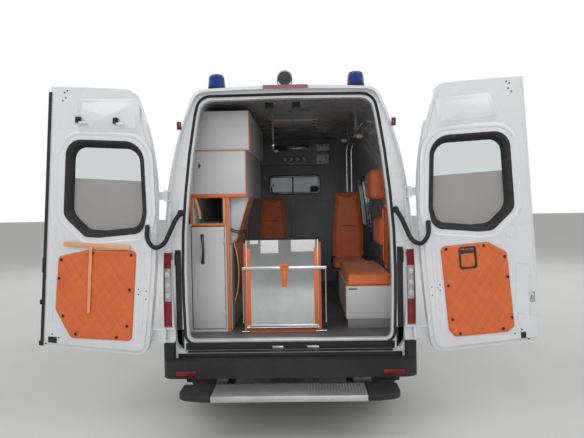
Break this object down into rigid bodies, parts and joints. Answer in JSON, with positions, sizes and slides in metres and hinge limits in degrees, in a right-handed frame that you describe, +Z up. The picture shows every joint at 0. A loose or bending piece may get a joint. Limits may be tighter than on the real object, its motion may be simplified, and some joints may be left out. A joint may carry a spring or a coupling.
{
  "type": "high-roof van ambulance",
  "caption": "High-roof van ambulance with opening rear and cab doors, bonnet, folding loading ramp, fitted cabin, rear step, roof beacons and steered road wheels.",
  "frame": {"origin": "on the ground, on the middle plane, half way between the rear step and the nose", "axes": "+X to the vehicle's right, +Y forwards, +Z up"},
  "size_m": [3.7646, 6.2218, 2.8369],
  "materials": {
    "white_paint": "gloss",
    "white_board": "matt",
    "orange_trim": "satin",
    "orange_cloth": "soft sheen",
    "grey_trim": "matt",
    "black_plastic": "matt",
    "lamp_lens": "clear gloss",
    "beacon_lens": "clear gloss",
    "glazing": "clear",
    "frosted_glazing": "lower part frosted",
    "steel": "galvanised",
    "chassis_black": "satin",
    "ramp_sheet": "bright",
    "step_sheet": "chequered",
    "cast": "rough",
    "tyre": "matt",
    "floor_cover": "studded",
    "hose_rubber": "matt"
  },
  "bodies": {
    "van": {"bench": "white_board", "body_glass": "glazing", "bulkhead": "white_board", "cab_frame": "white_paint", "cabinets": "white_board", "ceiling_fittings": "steel", "chassis": "chassis_black", "cushions": "orange_cloth", "dashboard": "grey_trim", "door_hoses": "hose_rubber", "engine": "cast", "exhaust": "steel", "floor": "floor_cover", "front_bumper": "grey_trim", "front_wings": "white_paint", "fuel_tank": "black_plastic", "hinge_brackets": "steel", "lamps": "lamp_lens", "ramp_frame": "orange_trim", "rear_axle": "cast", "rear_bumper": "black_plastic", "rear_frame": "white_paint", "rear_step": "step_sheet", "roof": "white_paint", "roof_lamps": "beacon_lens", "scuttle": "black_plastic", "seats": "orange_cloth", "shelf": "orange_trim", "side_cladding": "black_plastic", "side_left": "white_paint", "side_right": "white_paint", "sliding_door": "white_paint", "spare_wheel": "tyre"},
    "right_rear_door": {"rear_door_right": "white_paint", "rear_glass_right": "frosted_glazing"},
    "left_rear_door": {"rear_door_left": "white_paint", "rear_glass_left": "frosted_glazing"},
    "right_cab_door": {"cab_door_right": "white_paint", "cab_glass_right": "glazing"},
    "left_cab_door": {"cab_door_left": "white_paint", "cab_glass_left": "glazing"},
    "bonnet_lid": {"bonnet": "white_paint"},
    "locker_flap": {"locker_door": "white_board"},
    "ramp_board": {"ramp": "ramp_sheet"},
    "steering": {"steering_wheel": "black_plastic"},
    "right_knuckle": {"knuckle_right": "cast"},
    "left_knuckle": {"knuckle_left": "cast"},
    "front_right_wheel": {"wheel_front_right": "tyre"},
    "front_left_wheel": {"wheel_front_left": "tyre"},
    "rear_right_wheel": {"wheel_rear_right": "tyre"},
    "rear_left_wheel": {"wheel_rear_left": "tyre"}
  },
  "joints": [
    {"name": "right_rear_door_hinge", "type": "hinge", "parent": "van", "child": "right_rear_door", "pos_m": [0.922, -2.756, 1.2], "axis": [-0.0332, 0, 0.9995], "range_deg": [-188, 50], "deforming": ["door_hoses"]},
    {"name": "left_rear_door_hinge", "type": "hinge", "parent": "van", "child": "left_rear_door", "pos_m": [-0.922, -2.756, 1.2], "axis": [-0.0332, 0, -0.9995], "range_deg": [-188, 50], "deforming": ["door_hoses"]},
    {"name": "right_cab_door_hinge", "type": "hinge", "parent": "van", "child": "right_cab_door", "pos_m": [1.008, 1.888, 1.02], "axis": [-0.0436, 0, 0.999], "range_deg": [0, 65]},
    {"name": "left_cab_door_hinge", "type": "hinge", "parent": "van", "child": "left_cab_door", "pos_m": [-1.008, 1.888, 1.02], "axis": [-0.0436, 0, -0.999], "range_deg": [0, 65]},
    {"name": "bonnet_hinge", "type": "hinge", "parent": "van", "child": "bonnet_lid", "pos_m": [0, 2.3, 1.363], "axis": [1, 0, 0], "range_deg": [0, 50]},
    {"name": "locker_hinge", "type": "hinge", "parent": "van", "child": "locker_flap", "pos_m": [-0.522, -2.335, 1.1], "axis": [0, 0, 1], "range_deg": [0, 90]},
    {"name": "ramp_hinge", "type": "hinge", "parent": "van", "child": "ramp_board", "pos_m": [-0.06, -2.39, 0.712], "axis": [1, 0, 0], "range_deg": [0, 92]},
    {"name": "left_steer", "type": "hinge", "parent": "van", "child": "left_knuckle", "pos_m": [-0.745, 2.098, 0.35], "axis": [0, 0, 1], "range_deg": [-34, 34]},
    {"name": "right_steer", "type": "hinge", "parent": "van", "child": "right_knuckle", "pos_m": [0.745, 2.098, 0.35], "axis": [0, 0, 1], "range_deg": [-34, 34]},
    {"name": "steering_spin", "type": "hinge", "parent": "van", "child": "steering", "pos_m": [-0.43, 1.5, 1.33], "axis": [0, -0.766, 0.6428], "range_deg": [-561, 561]},
    {"name": "front_right_spin", "type": "hinge", "parent": "right_knuckle", "child": "front_right_wheel", "pos_m": [0.835, 2.098, 0.35], "axis": [-1, 0, 0], "continuous": true},
    {"name": "front_left_spin", "type": "hinge", "parent": "left_knuckle", "child": "front_left_wheel", "pos_m": [-0.835, 2.098, 0.35], "axis": [-1, 0, 0], "continuous": true},
    {"name": "rear_right_spin", "type": "hinge", "parent": "van", "child": "rear_right_wheel", "pos_m": [0.835, -1.567, 0.35], "axis": [-1, 0, 0], "continuous": true},
    {"name": "rear_left_spin", "type": "hinge", "parent": "van", "child": "rear_left_wheel", "pos_m": [-0.835, -1.567, 0.35], "axis": [-1, 0, 0], "continuous": true}
  ],
  "couplings": [
    {"joint": "right_steer", "follows": "left_steer", "ratio": 1},
    {"joint": "steering_spin", "follows": "left_steer", "ratio": 16.5}
  ]
}
